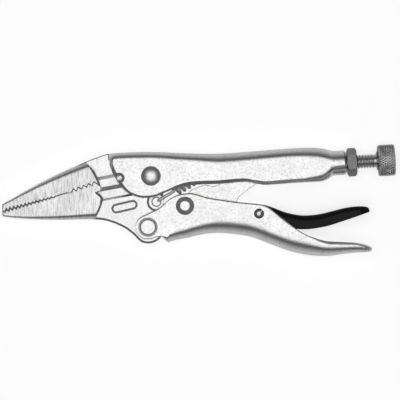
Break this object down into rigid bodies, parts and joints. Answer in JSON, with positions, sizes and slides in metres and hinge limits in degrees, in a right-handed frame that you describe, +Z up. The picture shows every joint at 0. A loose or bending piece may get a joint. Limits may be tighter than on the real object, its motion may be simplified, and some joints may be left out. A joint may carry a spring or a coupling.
{
  "type": "locking pliers",
  "caption": "Long-nose locking pliers with toothed tapering jaws, wire cutter, toggle link, release lever, knurled adjusting knob and lock nut.",
  "frame": {"origin": "middle of the footprint of the pliers lying on their side, on the surface they rest on", "axes": "+X along the pliers from the jaw tips to the adjusting knob, +Y across them to the fixed upper handle, +Z up through their thickness"},
  "size_m": [0.1773, 0.0504, 0.0142],
  "materials": {
    "satin_plate": "satin nickel plate with a fine blasted grain",
    "ground_jaw": "satin nickel plate over coarse cross grinding",
    "black_coat": "gloss black coating",
    "bright_rivet": "bright nickel plate",
    "roll_pin_steel": "dark spring steel",
    "spring_wire": "bright drawn wire",
    "plated_screw": "rolled thread, zinc plated",
    "black_oxide": "dull black oxide",
    "knurled_steel": "diamond knurl, nickel plated"
  },
  "bodies": {
    "upper_frame": {"upper_handle": "satin_plate", "fixed_jaw": "ground_jaw", "jaw_pivot_rivet": "bright_rivet", "return_spring": "spring_wire"},
    "moving_jaw": {"lower_jaw": "ground_jaw"},
    "grip": {"lower_handle": "satin_plate", "handle_pivot_rivet": "bright_rivet", "link_pivot_rivet": "bright_rivet", "lever_roll_pin": "roll_pin_steel"},
    "link": {"toggle_link": "satin_plate"},
    "lever": {"release_lever": "black_coat"},
    "screw": {"adjusting_screw": "plated_screw"},
    "knob": {"knurled_knob": "knurled_steel"},
    "nut": {"lock_nut": "black_oxide"}
  },
  "joints": [
    {"name": "jaw_hinge", "type": "hinge", "parent": "upper_frame", "child": "moving_jaw", "pos_m": [-0.0215, 0.0108, 0.0071], "axis": [0, 0, 1], "range_deg": [0, 24], "deforming": ["return_spring"]},
    {"name": "grip_hinge", "type": "hinge", "parent": "moving_jaw", "child": "grip", "pos_m": [-0.0228, -0.0122, 0.0071], "axis": [0, 0, 1], "range_deg": [-75, 0]},
    {"name": "link_hinge", "type": "hinge", "parent": "grip", "child": "link", "pos_m": [-0.0062, -0.0026, 0.0071], "axis": [0, 0, 1], "range_deg": [0, 80]},
    {"name": "lever_hinge", "type": "hinge", "parent": "grip", "child": "lever", "pos_m": [0.0271, -0.0061, 0.0071], "axis": [0, 0, 1], "range_deg": [-11, 0]},
    {"name": "screw_feed", "type": "slide", "parent": "upper_frame", "child": "screw", "axis": [0.9984, 0.057, 0], "range_m": [0, 0.0128]},
    {"name": "knob_spin", "type": "hinge", "parent": "screw", "child": "knob", "pos_m": [0.0664, 0.0169, 0.0071], "axis": [0.9984, 0.057, 0], "range_deg": [0, 3600]},
    {"name": "nut_spin", "type": "hinge", "parent": "upper_frame", "child": "nut", "pos_m": [0.0664, 0.0169, 0.0071], "axis": [0.9984, 0.057, 0], "range_deg": [0, 60]}
  ],
  "couplings": [
    {"joint": "grip_hinge", "follows": "jaw_hinge", "ratio": -3.1},
    {"joint": "link_hinge", "follows": "jaw_hinge", "ratio": 3.3},
    {"joint": "screw_feed", "follows": "knob_spin", "m_per_rad": 0.00020213}
  ]
}
